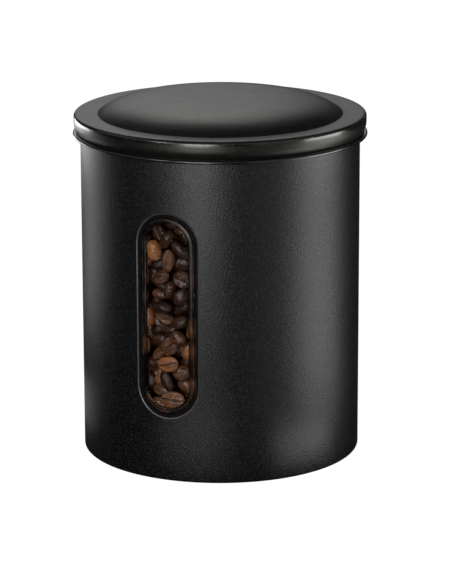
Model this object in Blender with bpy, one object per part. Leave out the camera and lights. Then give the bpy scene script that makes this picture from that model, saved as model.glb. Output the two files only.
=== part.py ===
# A steel coffee canister with a slip-on lid and a clear window, holding roasted beans.
# Metres, +Z up. The origin is on the ground, under the middle of the round body.
# The window faces -Y. The lid lifts straight up along +Z.

import math

import bmesh
import bpy
from mathutils import Matrix, Vector

# Sheet and clearances
SHEET = 0.0005
GAP = 0.0003
ROUND_STEPS = 64
HIDDEN_STEPS = 48

# Body: a rolled tube, its foot turned in and its mouth curled inward
BODY_RADIUS = 0.0625
FOOT_BEND = 0.0012
FOOT_INNER_RADIUS = 0.0588
CURL_RADIUS = 0.001

# Lid, with the flat ring's outer edge at the height of the driving dimension
RING_HEIGHT = 0.154
RING_DIP = 0.0005
DOME_RADIUS = 0.0548
DOME_RISE = 0.0069
DOME_CROWN = 0.0003
DOME_FULLNESS = 6.1
SKIRT_RADIUS = 0.0654
EDGE_BEND = 0.001
NECK_DROP = 0.0073
NECK_DEPTH = 0.0013
BEAD_RADIUS = 0.0013
BEAD_PROUD = 0.00045

# Liner pressed into the lid, with its flange over the mouth and a plug wall inside it
LINER_FLANGE = 0.0012
LINER_OUTER_RADIUS = 0.063
PLUG_OUTER_RADIUS = 0.0594
PLUG_INNER_RADIUS = 0.0572
PLUG_DEPTH = 0.0088
SEAL_GROOVE = 0.0008
SEAL_HEIGHT = 0.0041
SEAL_BAND = 0.0006
SEAL_LIP_RADIUS = 0.0602

# Window: an upright slot with round ends, measured round the body's outside
WINDOW_WIDTH = 0.029
WINDOW_BOTTOM = 0.0288
WINDOW_TOP = 0.1208
WINDOW_ARC_STEPS = 12
PANE_INNER_RADIUS = 0.0596
PANE_FLANGE = 0.0012
PANE_FLANGE_WIDTH = 0.005
PANE_FACE_RADIUS = 0.0622
PANE_BEAD_START = 0.0017
PANE_BEAD_END = 0.0042
PANE_STEP = 0.0007
GASKET_THICKNESS = 0.0006
GASKET_INSET = 0.0014

# Base plate, raised inside the foot
PLATE_RADIUS = 0.0612
PLATE_RAISE = 0.0025
PLATE_PANEL_RADIUS = 0.0562
PLATE_RING_RADIUS = 0.04
PLATE_RING_DEPTH = 0.0006

# Roasted beans
BEAN_LENGTH = 0.0102
BEAN_WIDTH = 0.0074
BEAN_THICKNESS = 0.0046
BED_RADIUS = 0.0572
BED_FRONT_RADIUS = 0.0592
BED_TOP = 0.119
TOP_BEANS = 44
GOLDEN_TURN = math.pi * (3 - math.sqrt(5))

# Beans that lie against the window, read from the photograph and written in millimetres:
# along the glass from its middle, height, and the tilt of the long axis in degrees
WINDOW_BEANS = (
    (-8.4, 102.6, 105),
    (-1.5, 98.6, 80),
    (-1.8, 108.2, 57),
    (-7.2, 110.4, 113),
    (4.8, 103.8, -45),
    (4.4, 96.8, 5),
    (-4.8, 91.0, 12),
    (-1.8, 85.1, 86),
    (5.0, 82.5, 60),
    (-4.2, 77.5, 0),
    (-11.7, 71.9, 97),
    (-7.8, 70.9, -57),
    (-3.5, 72.5, -22),
    (4.6, 71.5, 17),
    (3.4, 63.9, -35),
    (-2.2, 59.2, 45),
    (-1.0, 52.3, 6),
    (-8.4, 55.6, 38),
    (6.9, 57.4, 86),
    (-2.1, 44.2, -66),
    (-8.0, 44.3, 86),
    (4.6, 47.9, 12),
    (5.5, 42.1, -38),
    (-6.7, 38.0, -4),
    (1.1, 36.2, 4),
    (4.7, 113.2, 25),
    (-0.9, 114.2, -10),
    (6.3, 108.5, -42),
    (-7.8, 95.8, 25),
    (5.2, 90.2, -28),
    (-7.6, 86.7, -48),
    (-8.3, 81.9, -3),
    (4.4, 76.8, 33),
    (8.3, 67.7, 80),
    (-9.5, 66.1, 25),
    (-2.4, 67.7, 20),
    (-8.8, 61.1, 8),
    (-8.8, 50.1, -35),
    (-5.3, 33.0, -26),
    (2.5, 31.2, 5),
    (7.8, 41.7, 88),
)


def clear_scene():
    for item in list(bpy.data.objects):
        bpy.data.objects.remove(item, do_unlink=True)


def finish(name, colour, roughness, metallic=0.0, clear=0.0):
    """A plain material: colour, roughness, metal or clear plastic."""
    material = bpy.data.materials.new(name)
    material.use_nodes = True
    shader = material.node_tree.nodes["Principled BSDF"]
    shader.inputs["Base Color"].default_value = (*colour, 1.0)
    shader.inputs["Roughness"].default_value = roughness
    shader.inputs["Metallic"].default_value = metallic
    shader.inputs["Transmission Weight"].default_value = clear
    material.diffuse_color = (*colour, 1.0)
    return material


def add_object(name, mesh, material, parent=None):
    item = bpy.data.objects.new(name, mesh)
    bpy.context.scene.collection.objects.link(item)
    mesh.materials.append(material)
    if parent is not None:
        item.parent = parent
        item.matrix_parent_inverse = parent.matrix_basis.inverted()
    return item


def add_modifier(item, kind, **settings):
    modifier = item.modifiers.new(kind.title(), kind)
    for setting, value in settings.items():
        setattr(modifier, setting, value)
    return modifier


def shade_round(item, angle=35):
    item.data.shade_smooth()
    item.data.set_sharp_from_angle(angle=math.radians(angle))


def arc(centre_radius, centre_height, radius, start, end, steps):
    """Points of an arc in the turning plane, from one angle in degrees to another."""
    points = []
    for i in range(steps + 1):
        angle = math.radians(start + (end - start) * i / steps)
        across = centre_radius + radius * math.cos(angle)
        points.append((across, centre_height + radius * math.sin(angle)))
    return points


def turned(name, profile, material, parent, closed=True, steps=ROUND_STEPS):
    """A round piece: its outline, which runs down the outer side, turned about the Z axis."""
    mesh = bpy.data.meshes.new(name)
    count = len(profile)
    edges = [(i, i + 1) for i in range(count - 1)]
    if closed:
        edges.append((count - 1, 0))
    mesh.from_pydata([(radius, 0, height) for radius, height in profile], edges, [])
    item = add_object(name, mesh, material, parent)
    add_modifier(
        item,
        "SCREW",
        axis="Z",
        angle=math.tau,
        steps=steps,
        render_steps=steps,
        use_merge_vertices=True,
        merge_threshold=1e-5,
        use_smooth_shade=True,
    )
    return item


def slot_loop(inset, radius):
    """A loop round the window's slot, drawn in by inset and bent onto a cylinder of this radius."""
    half_width = WINDOW_WIDTH / 2 - inset
    low = WINDOW_BOTTOM + WINDOW_WIDTH / 2
    high = WINDOW_TOP - WINDOW_WIDTH / 2
    points = []
    for centre, start in ((high, 0), (low, 180)):
        for along, height in arc(0, centre, half_width, start, start + 180, WINDOW_ARC_STEPS):
            turn = along / BODY_RADIUS
            points.append(Vector((radius * math.sin(turn), -radius * math.cos(turn), height)))
    return points


def slot_piece(name, loops, material, parent, capped=True):
    """A bent piece of the window: loops joined in turn, then capped, or joined end to end."""
    mesh = bmesh.new()
    rings = [[mesh.verts.new(point) for point in slot_loop(*loop)] for loop in loops]
    count = len(rings[0])
    pairs = list(zip(rings, rings[1:]))
    if not capped:
        pairs.append((rings[-1], rings[0]))
    for first, second in pairs:
        for i in range(count):
            j = (i + 1) % count
            mesh.faces.new((first[i], first[j], second[j], second[i]))
    if capped:
        for ring in (rings[0], rings[-1]):
            for i in range(WINDOW_ARC_STEPS):
                mesh.faces.new((ring[i], ring[i + 1], ring[count - 2 - i], ring[count - 1 - i]))
    bmesh.ops.recalc_face_normals(mesh, faces=mesh.faces)
    data = bpy.data.meshes.new(name)
    mesh.to_mesh(data)
    mesh.free()
    item = add_object(name, data, material, parent)
    shade_round(item)
    return item


def make_body_shell(material, parent):
    """The rolled tube, its foot turned in under it, its mouth curled inward, and its slot cut."""
    inner = BODY_RADIUS - SHEET
    curl_middle = BODY_RADIUS - CURL_RADIUS
    curl_height = mouth_height() - CURL_RADIUS
    bend_middle = BODY_RADIUS - FOOT_BEND
    profile = arc(curl_middle, curl_height, CURL_RADIUS, 180, 0, 6)
    profile += arc(bend_middle, FOOT_BEND, FOOT_BEND, 0, -90, 4)
    profile += [(FOOT_INNER_RADIUS, 0), (FOOT_INNER_RADIUS, SHEET)]
    profile += arc(bend_middle, FOOT_BEND, FOOT_BEND - SHEET, -90, 0, 3)
    meeting = -math.degrees(math.acos((inner - curl_middle) / CURL_RADIUS))
    profile += arc(curl_middle, curl_height, CURL_RADIUS, meeting, -150, 2)
    shell = turned("body_shell", profile, material, parent)

    loops = ((0, BODY_RADIUS - 0.008), (0, BODY_RADIUS + 0.008))
    cutter = slot_piece("window_cutter", loops, material, parent)
    cutter.hide_render = True
    cutter.display_type = "WIRE"
    add_modifier(shell, "BOOLEAN", operation="DIFFERENCE", solver="EXACT", object=cutter)
    return shell


def make_base_plate(material, parent):
    """The stamped bottom: a rim on the turned-in foot, a raised panel and one stiffening ring."""
    low = SHEET + GAP
    high = low + PLATE_RAISE
    slope = PLATE_RAISE * 0.5
    panel = PLATE_PANEL_RADIUS
    ring = PLATE_RING_RADIUS
    half = 0.001
    top = [
        (0, high + SHEET),
        (ring - 2 * half, high + SHEET),
        (ring - half, high + SHEET - PLATE_RING_DEPTH),
        (ring + half, high + SHEET - PLATE_RING_DEPTH),
        (ring + 2 * half, high + SHEET),
        (panel, high + SHEET),
        (panel + slope, low + SHEET),
        (PLATE_RADIUS, low + SHEET),
    ]
    bottom = [
        (PLATE_RADIUS, low),
        (panel + slope - SHEET / 2, low),
        (panel - SHEET / 2, high),
        (ring + 2 * half, high),
        (ring + half, high - PLATE_RING_DEPTH),
        (ring - half, high - PLATE_RING_DEPTH),
        (ring - 2 * half, high),
        (0, high),
    ]
    return turned("base_plate", top + bottom, material, parent, False, HIDDEN_STEPS)


def make_window_pane(material, parent):
    """The clear moulding: a flange behind the sheet, a rounded bead in the slot, a flat middle."""
    face = PANE_FACE_RADIUS
    back = PANE_INNER_RADIUS + PANE_FLANGE
    middle = (PANE_BEAD_START + PANE_BEAD_END) / 2
    quarter = (PANE_BEAD_END - PANE_BEAD_START) / 4
    loops = (
        (PANE_BEAD_END, face - PANE_STEP),
        (middle + quarter, face - PANE_STEP / 6),
        (middle - quarter, face - PANE_STEP / 6),
        (PANE_BEAD_START, face - PANE_STEP),
        (PANE_BEAD_START, back),
        (-PANE_FLANGE_WIDTH, back),
        (-PANE_FLANGE_WIDTH, PANE_INNER_RADIUS),
    )
    return slot_piece("window_pane", loops, material, parent)


def make_window_gasket(material, parent):
    """The adhesive foam frame between the pane's flange and the sheet; it shows round the bead."""
    outer = BODY_RADIUS - SHEET - GAP
    inner = outer - GASKET_THICKNESS
    near = GASKET_INSET
    far = 2 * GAP - PANE_FLANGE_WIDTH
    loops = ((near, outer), (far, outer), (far, inner), (near, inner))
    return slot_piece("window_gasket", loops, material, parent, capped=False)


def add_bean(mesh, place, along, outward):
    """One faceted bean: its long axis along one direction, its thin axis pointing outward."""
    across = outward.cross(along).normalized()
    along = across.cross(outward).normalized()
    turn = Matrix((along, across, outward)).transposed().to_4x4()
    size = Matrix.Diagonal((BEAN_LENGTH / 2, BEAN_WIDTH / 2, BEAN_THICKNESS / 2, 1))
    matrix = Matrix.Translation(place) @ turn @ size
    bmesh.ops.create_uvsphere(mesh, u_segments=8, v_segments=5, radius=1, matrix=matrix)


def window_bean_places():
    """(place, long axis, outward) of each bean that lies against the window."""
    middle = BED_FRONT_RADIUS - BEAN_THICKNESS / 2
    for along, height, tilt in WINDOW_BEANS:
        turn = along / 1000 / BED_FRONT_RADIUS
        outward = Vector((math.sin(turn), -math.cos(turn), 0))
        sideways = Vector((math.cos(turn), math.sin(turn), 0))
        angle = math.radians(tilt)
        axis = sideways * math.cos(angle) + Vector((0, 0, math.sin(angle)))
        place = outward * middle + Vector((0, 0, height / 1000))
        yield place, axis, outward


def top_bean_places():
    """(place, long axis, upward) of the beans that stand out of the bed's top, on a spiral."""
    for i in range(TOP_BEANS):
        spread = (BED_RADIUS - BEAN_LENGTH / 2) * math.sqrt((i + 0.5) / TOP_BEANS)
        turn = i * GOLDEN_TURN
        lean = 0.35 * math.sin(3.1 * i)
        place = Vector((spread * math.cos(turn), spread * math.sin(turn), BED_TOP))
        upward = Vector((lean * math.cos(5.3 * i), lean * math.sin(5.3 * i), 1)).normalized()
        axis = Vector((math.cos(2.4 * i), math.sin(2.4 * i), 0))
        yield place, axis, upward


def make_coffee_beans(material, parent):
    """The fill as one closed body: a plain core with the beans that show standing out of it."""
    low = SHEET + GAP + PLATE_RAISE + SHEET + GAP
    profile = [(0, BED_TOP), (BED_RADIUS, BED_TOP), (BED_RADIUS, low), (0, low)]
    beans = turned("coffee_beans", profile, material, parent, False, HIDDEN_STEPS)
    mesh = bmesh.new()
    for place, axis, outward in (*window_bean_places(), *top_bean_places()):
        add_bean(mesh, place, axis, outward)
    data = bpy.data.meshes.new("bean_shapes")
    mesh.to_mesh(data)
    mesh.free()
    shapes = add_object("bean_shapes", data, material, parent)
    shapes.hide_render = True
    shapes.display_type = "WIRE"
    add_modifier(
        beans,
        "BOOLEAN",
        operation="UNION",
        solver="EXACT",
        use_self=True,
        object=shapes,
    )
    return beans


def dome_outline(drop):
    """The stamped top from its middle out to its crease, lowered by drop for the underside."""
    crease_height = RING_HEIGHT - RING_DIP - drop
    points = []
    for share in (0, 0.4, 0.62, 0.76, 0.85, 0.91, 0.96, 1):
        rise = DOME_RISE * (1 - share**DOME_FULLNESS) + DOME_CROWN * (1 - share**2)
        points.append((DOME_RADIUS * share, crease_height + rise))
    return points


def make_lid_shell(material, parent):
    """The pressed lid: dome, crease, flat ring, skirt, neck and the rolled bead at its hem."""
    top = RING_HEIGHT
    inner = SKIRT_RADIUS - SHEET
    bend_middle = SKIRT_RADIUS - EDGE_BEND
    neck_height = top - NECK_DROP
    neck_radius = SKIRT_RADIUS - NECK_DEPTH
    bead_middle = SKIRT_RADIUS + BEAD_PROUD - BEAD_RADIUS
    bead_height = neck_height - BEAD_RADIUS
    skirt_low = neck_height + 0.0014
    outline = dome_outline(0)
    outline += arc(bend_middle, top - EDGE_BEND, EDGE_BEND, 90, 0, 4)
    outline += [(SKIRT_RADIUS, skirt_low)]
    outline += [(SKIRT_RADIUS - NECK_DEPTH / 2, neck_height + 0.0005), (neck_radius, neck_height)]
    outline += arc(bead_middle, bead_height, BEAD_RADIUS, 75, -210, 9)
    outline += [(neck_radius - SHEET, neck_height + 0.0004), (inner, skirt_low + SHEET / 2)]
    outline += arc(bend_middle, top - EDGE_BEND, EDGE_BEND - SHEET, 0, 90, 2)
    outline += reversed(dome_outline(SHEET))
    return turned("lid_shell", outline, material, parent, False)


def liner_top():
    """Height of the liner's flange, close under the lid's flat ring where that dips."""
    share = (PLUG_INNER_RADIUS - DOME_RADIUS) / (SKIRT_RADIUS - EDGE_BEND - DOME_RADIUS)
    return RING_HEIGHT - SHEET - RING_DIP * (1 - share) - GAP


def mouth_height():
    return liner_top() - LINER_FLANGE - GAP


def seal_top():
    return mouth_height() - CURL_RADIUS + SEAL_BAND / 2


def make_lid_liner(material, parent):
    """The moulded ring inside the lid: flange over the mouth, plug wall in it, seal groove."""
    flange_low = liner_top() - LINER_FLANGE
    plug_low = flange_low - PLUG_DEPTH
    chamfer = 0.0006
    floor = PLUG_OUTER_RADIUS - SEAL_GROOVE
    groove_high = seal_top() + GAP
    groove_low = seal_top() - SEAL_HEIGHT - GAP
    profile = [
        (LINER_OUTER_RADIUS, liner_top()),
        (LINER_OUTER_RADIUS, flange_low),
        (PLUG_OUTER_RADIUS, flange_low),
        (PLUG_OUTER_RADIUS, groove_high),
        (floor, groove_high),
        (floor, groove_low),
        (PLUG_OUTER_RADIUS, groove_low),
        (PLUG_OUTER_RADIUS, plug_low + chamfer),
        (PLUG_OUTER_RADIUS - chamfer, plug_low),
        (PLUG_INNER_RADIUS, plug_low),
        (PLUG_INNER_RADIUS, liner_top()),
    ]
    return turned("lid_liner", profile, material, parent, True, HIDDEN_STEPS)


def make_lid_seal(material, parent):
    """The silicone ring in the plug's groove, with two lips towards the mouth's curl."""
    inner = PLUG_OUTER_RADIUS - SEAL_GROOVE + GAP
    band = inner + SEAL_BAND
    top = seal_top()
    bottom = top - SEAL_HEIGHT
    lip = SEAL_BAND / 3
    profile = [(inner, top), (band, top)]
    for lip_height in (top - SEAL_BAND / 2, bottom + 2 * SEAL_BAND):
        profile += [
            (SEAL_LIP_RADIUS, lip_height),
            (SEAL_LIP_RADIUS, lip_height - lip),
            (band, lip_height - SEAL_BAND - lip),
        ]
    profile += [(band, bottom), (inner, bottom)]
    return turned("lid_seal", profile, material, parent, True, HIDDEN_STEPS)


def main():
    clear_scene()
    coated = finish("coated_steel", (0.024, 0.024, 0.025), 0.42, 0.0)
    bare = finish("inner_steel", (0.42, 0.42, 0.41), 0.38, 1.0)
    clear = finish("clear_plastic", (0.9, 0.92, 0.92), 0.05, 0.0, 1.0)
    foam = finish("foam_tape", (0.03, 0.03, 0.03), 0.9)
    moulded = finish("moulded_plastic", (0.035, 0.035, 0.037), 0.5)
    silicone = finish("silicone", (0.55, 0.55, 0.53), 0.6)
    roasted = finish("roasted_coffee", (0.085, 0.035, 0.017), 0.45)

    body = bpy.data.objects.new("canister", None)
    lid = bpy.data.objects.new("lid", None)
    for empty in (body, lid):
        bpy.context.scene.collection.objects.link(empty)
    lid.location = (0, 0, RING_HEIGHT)

    make_body_shell(coated, body)
    make_base_plate(bare, body)
    make_window_pane(clear, body)
    make_window_gasket(foam, body)
    make_coffee_beans(roasted, body)
    make_lid_shell(coated, lid)
    make_lid_liner(moulded, lid)
    make_lid_seal(silicone, lid)


main()
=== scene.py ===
import math
import random

import bpy
import numpy as np
from mathutils import Matrix, Quaternion, Vector


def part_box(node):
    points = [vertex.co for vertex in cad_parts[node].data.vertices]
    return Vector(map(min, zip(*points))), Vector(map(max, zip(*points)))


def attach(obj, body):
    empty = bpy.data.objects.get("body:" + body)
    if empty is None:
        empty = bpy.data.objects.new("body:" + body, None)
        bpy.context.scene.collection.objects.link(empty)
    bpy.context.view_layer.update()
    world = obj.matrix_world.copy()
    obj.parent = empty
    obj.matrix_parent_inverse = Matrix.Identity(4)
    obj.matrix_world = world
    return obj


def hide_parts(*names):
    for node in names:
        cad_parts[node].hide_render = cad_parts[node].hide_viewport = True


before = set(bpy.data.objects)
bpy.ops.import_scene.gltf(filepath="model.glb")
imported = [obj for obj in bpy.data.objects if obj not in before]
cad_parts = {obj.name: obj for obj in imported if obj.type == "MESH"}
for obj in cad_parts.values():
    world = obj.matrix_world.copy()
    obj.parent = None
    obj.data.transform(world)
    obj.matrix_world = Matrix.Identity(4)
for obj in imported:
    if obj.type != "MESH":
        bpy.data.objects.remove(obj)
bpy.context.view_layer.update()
print("frame loaded")

mm = 0.001


# Wiring materials

class Wire:
    # one output socket; arithmetic on it adds Math nodes
    def __init__(self, finish, socket):
        self.finish = finish
        self.socket = socket

    def sum(self, operation, first, second):
        return self.finish.add("Math", {"operation": operation}, {0: first, 1: second})

    def __add__(self, other):
        return self.sum("ADD", self, other)

    def __radd__(self, other):
        return self.sum("ADD", other, self)

    def __sub__(self, other):
        return self.sum("SUBTRACT", self, other)

    def __rsub__(self, other):
        return self.sum("SUBTRACT", other, self)

    def __mul__(self, other):
        return self.sum("MULTIPLY", self, other)

    def __rmul__(self, other):
        return self.sum("MULTIPLY", other, self)

    def either(self, other):
        return self.sum("MAXIMUM", self, other)

    def between(self, low, high):
        # 0 at low and 1 at high, smoothly, held at both ends
        settings = {"interpolation_type": "SMOOTHSTEP"}
        return self.finish.add("MapRange", settings, {"Value": self, 1: low, 2: high})


class Finish:
    # a material, or the world, while it is wired
    def __init__(self, name, tree=None):
        self.material = None if tree else bpy.data.materials.new(name)
        if self.material:
            self.material.use_nodes = True
        self.tree = tree or self.material.node_tree
        self.tree.nodes.clear()

    def add(self, kind, settings=None, values=None, out=0):
        node = self.tree.nodes.new("ShaderNode" + kind)
        for name, value in (settings or {}).items():
            if name == "stops":
                self.setStops(node.color_ramp, value)
            else:
                setattr(node, name, value)
        for name, value in (values or {}).items():
            socket = node.inputs[name]
            if isinstance(value, Wire):
                self.tree.links.new(value.socket, socket)
            else:
                socket.default_value = value
        return Wire(self, node.outputs[out]) if node.outputs else None

    def setStops(self, ramp, stops):
        while len(ramp.elements) < len(stops):
            ramp.elements.new(0.5)
        for element, (place, shade) in zip(ramp.elements, stops):
            element.position = place
            element.color = shade

    def places(self):
        return self.add("TexCoord", out="Object")

    def stored(self, name):
        # a share that storeShares put on the mesh
        return self.add("Attribute", {"attribute_name": name}, out="Fac")

    def noise(self, where, scale, detail=2.0, roughness=0.5):
        values = {"Vector": where, "Scale": scale, "Detail": detail, "Roughness": roughness}
        return self.add("TexNoise", None, values)

    def blend(self, share, first, second):
        settings = {"data_type": "RGBA"}
        return self.add("Mix", settings, {"Factor": share, 6: first, 7: second}, out=2)

    def bump(self, height, distance, strength=1.0):
        values = {"Height": height, "Distance": distance, "Strength": strength}
        return self.add("Bump", None, values)

    def shown(self, shader, kind="Material"):
        self.add("Output" + kind, None, {"Surface": shader})
        return self.material

    def painted(self, values):
        return self.shown(self.add("BsdfPrincipled", None, values))


def screenColour(red, green, blue):
    # a colour as a screen shows it, 0 to 255, as the linear value that a socket takes
    linear = []
    for part in (red, green, blue):
        share = part / 255
        linear.append(share / 12.92 if share <= 0.04045 else ((share + 0.055) / 1.055) ** 2.4)
    return (*linear, 1.0)


# Making pieces

def addObject(name, data):
    thing = bpy.data.objects.new(name, data)
    bpy.context.scene.collection.objects.link(thing)
    return thing


def newMesh(name, points, faces):
    mesh = bpy.data.meshes.new(name)
    mesh.from_pydata(points, [], faces)
    return mesh


def addPiece(name, mesh, finish, body, node):
    piece = addObject(name, mesh)
    mesh.materials.append(finish)
    mesh.shade_smooth()
    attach(piece, body)
    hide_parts(node)
    return piece


def addModifier(piece, kind, **settings):
    modifier = piece.modifiers.new(kind.title(), kind)
    for name, value in settings.items():
        setattr(modifier, name, value)


def roundEdges(piece, width, segments, sharpest):
    # rounds the edges that turn by more than sharpest degrees
    addModifier(
        piece, "BEVEL", width=width, segments=segments, limit_method="ANGLE",
        angle_limit=math.radians(sharpest), harden_normals=True,
    )


def thicken(piece, sheet, edge):
    # gives a skin its thickness on its inner side, and rounds its cut edges
    addModifier(piece, "SOLIDIFY", thickness=sheet, offset=-1, use_even_offset=True)
    roundEdges(piece, edge, 3, 50)


def arc(across, height, radius, start, end, steps):
    # points of an arc in the turning plane, from one angle in degrees to another
    points = []
    for i in range(steps + 1):
        angle = math.radians(start + (end - start) * i / steps)
        points.append((across + radius * math.cos(angle), height + radius * math.sin(angle)))
    return points


def turnedMesh(name, outline, closed=False, turns=224):
    # turns an outline about Z; it runs down its outer side, and a point on the axis is one vertex
    points = []
    rows = []
    for radius, height in outline:
        if radius < 0.01 * mm:
            rows.append([len(points)] * turns)
            points.append((0, 0, height))
            continue
        rows.append(list(range(len(points), len(points) + turns)))
        for j in range(turns):
            angle = math.tau * j / turns
            points.append((radius * math.sin(angle), -radius * math.cos(angle), height))
    pairs = list(zip(rows, rows[1:])) + ([(rows[-1], rows[0])] if closed else [])
    faces = []
    for upper, lower in pairs:
        for j in range(turns):
            k = (j + 1) % turns
            corners = (upper[j], lower[j], lower[k], upper[k])
            faces.append(tuple(dict.fromkeys(corners)))
    return newMesh(name, points, faces)


def storeShares(mesh, name, values):
    # a number from 0 to 1 on each point, for the mesh's material
    shares = mesh.attributes.new(name, "FLOAT", "POINT")
    shares.data.foreach_set("value", np.array(values, dtype=float))


def onCylinder(along, height, radius):
    # along is measured round the body's outside, from the middle of the window
    angle = along / body["radius"]
    return (radius * math.sin(angle), -radius * math.cos(angle), height)


# Finishes

# noise sizes are in waves per metre, and "uneven" is how far the roughness strays

coat = {
    "colour": screenColour(3, 3, 3),
    "worn": screenColour(34, 34, 34),  # on the grain's tops
    "thin": screenColour(80, 80, 80),  # a highlight painted along the slot's lip
    # how strongly the highlight is painted on the lip
    "lipHighlightShare": 0.8,
    "lidTint": (1.0, 0.98, 0.88, 1.0),
    "lidGrain": 0.7,
    "roughness": 0.38,
    "uneven": 0.08,
    "grainPolish": 0.16,
    "edgePolish": 0.22,
    "shine": 0.45,
    "edgeGloss": 0.7,
    "glossRoughness": 0.15,
    "grain": 1800,
    "grainTops": (0.54, 0.7),
    "grainHeight": 0.14 * mm,
    "mottle": 160,
}


def powderCoat(name, grainStrength=1.0, paintedHighlight=0.0, tint=(1.0, 1.0, 1.0, 1.0)):
    # the coat flows smooth on tight bends; edge is 1 there, and is stored on the mesh; the third
    # argument paints a highlight along edge into the base colour
    finish = Finish(name)
    where = finish.places()
    grain = finish.noise(where, coat["grain"], 1.0)
    mottle = finish.noise(where, coat["mottle"], 3.0)
    edge = finish.stored("edge")
    shade = finish.blend(grain.between(*coat["grainTops"]), coat["colour"], coat["worn"])
    matt = coat["roughness"] + (mottle - 0.5) * coat["uneven"]
    values = {
        # along the edge, a highlight is painted into the base colour
        "Base Color": finish.blend(edge * paintedHighlight, shade, coat["thin"]),
        "Roughness": matt - (grain - 0.5) * coat["grainPolish"] - edge * coat["edgePolish"],
        "Specular IOR Level": coat["shine"],
        "Specular Tint": tint,
        "Coat Weight": edge * coat["edgeGloss"],
        "Coat Roughness": coat["glossRoughness"],
        "Normal": finish.bump(grain, coat["grainHeight"], grainStrength),
    }
    return finish.painted(values)


clear = {
    "middle": screenColour(248, 250, 250),
    # the rim's darker colour is a painted shade
    "rim": screenColour(160, 160, 162),
    "haze": 220,
    "uneven": 0.02,
    "beadHaze": 0.28,
    "index": 1.47,
    "beadGloss": 0.6,
    "glossRoughness": 0.18,
    "through": (0.95, 0.95, 0.95, 1.0),
}


def clearPlastic(name):
    # the mesh holds two shares: rim is 0 on the middle's front and 1 elsewhere, where the moulding's
    # colour is darkened as a painted shade, and edge is 1 on the crown of its bead
    finish = Finish(name)
    rim = finish.stored("rim")
    edge = finish.stored("edge")
    haze = finish.noise(finish.places(), clear["haze"], 2.0)
    values = {
        "Base Color": finish.blend(rim, clear["middle"], clear["rim"]),
        "Roughness": haze.between(0.6, 0.9) * clear["uneven"] + edge * clear["beadHaze"],
        "Transmission Weight": 1.0,
        "IOR": clear["index"],
        "Specular Tint": (0.0, 0.0, 0.0, 1.0),  # its coat shows the highlights
        "Coat Weight": edge * clear["beadGloss"],
        "Coat Roughness": clear["glossRoughness"],
    }
    moulding = finish.add("BsdfPrincipled", None, values)
    through = finish.add("BsdfTransparent", None, {"Color": clear["through"]})
    shadow = finish.add("LightPath", out="Is Shadow Ray")
    bounce = finish.add("LightPath", out="Is Diffuse Ray")
    seen = finish.add("MixShader", None, {0: bounce, 1: moulding, 2: through})
    return finish.shown(finish.add("MixShader", None, {0: shadow, 1: seen, 2: through}))


foam = {
    "cell": screenColour(3, 3, 4),
    "skin": screenColour(14, 14, 15),
    "cells": 2400,
    "cellDepth": 0.06 * mm,
    "roughness": 0.92,
    "shine": 0.1,
}


def foamTape(name):
    finish = Finish(name)
    cells = finish.noise(finish.places(), foam["cells"], 2.0)
    values = {
        "Base Color": finish.blend(cells, foam["cell"], foam["skin"]),
        "Roughness": foam["roughness"],
        "Specular IOR Level": foam["shine"],
        "Normal": finish.bump(cells, foam["cellDepth"]),
    }
    return finish.painted(values)


moulded = {
    "dark": screenColour(26, 26, 27),
    "pale": screenColour(38, 38, 39),
    "flow": 90,
    "roughness": 0.42,
    "uneven": 0.14,
    "spark": 3000,
    "sparkHeight": 0.02 * mm,
}


def mouldedPlastic(name):
    finish = Finish(name)
    where = finish.places()
    spark = finish.noise(where, moulded["spark"], 2.0)
    flow = finish.noise(where, moulded["flow"], 3.0)
    values = {
        "Base Color": finish.blend(flow, moulded["dark"], moulded["pale"]),
        "Roughness": moulded["roughness"] + flow * moulded["uneven"],
        "Normal": finish.bump(spark, moulded["sparkHeight"], 0.6),
    }
    return finish.painted(values)


rubber = {
    "dark": screenColour(176, 176, 170),
    "pale": screenColour(206, 206, 200),
    "cloud": 260,
    "roughness": 0.45,
    "uneven": 0.12,
    "depth": 0.2,
}


def siliconeRubber(name):
    finish = Finish(name)
    cloud = finish.noise(finish.places(), rubber["cloud"], 3.0)
    values = {
        "Base Color": finish.blend(cloud, rubber["dark"], rubber["pale"]),
        "Roughness": rubber["roughness"] + cloud * rubber["uneven"],
        "Subsurface Weight": rubber["depth"],
    }
    return finish.painted(values)


roast = {
    "dark": screenColour(36, 21, 11),
    "middle": screenColour(74, 44, 25),
    "brown": screenColour(114, 77, 53),
    "orange": screenColour(150, 92, 48),
    "tan": screenColour(170, 122, 77),
    # a painted shade in the crease
    "crease": screenColour(26, 14, 8),
    "chaff": screenColour(170, 132, 94),
    "mottle": 430,
    "patches": 0.8,  # how far the mottle moves the tone
    "dents": 240,
    "wrinkles": 1150,
    "roughness": 0.13,
    "uneven": 0.2,
    "creaseDull": 0.3,
    "wrinkleShade": 0.5,
    "creaseShade": 0.85,
    "chaffShade": 0.5,
    "bumpHeight": 0.34 * mm,
    "bumpShares": (2.2, 1.2, 0.6),  # of the dents, the mottle and the wrinkles
}


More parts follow.
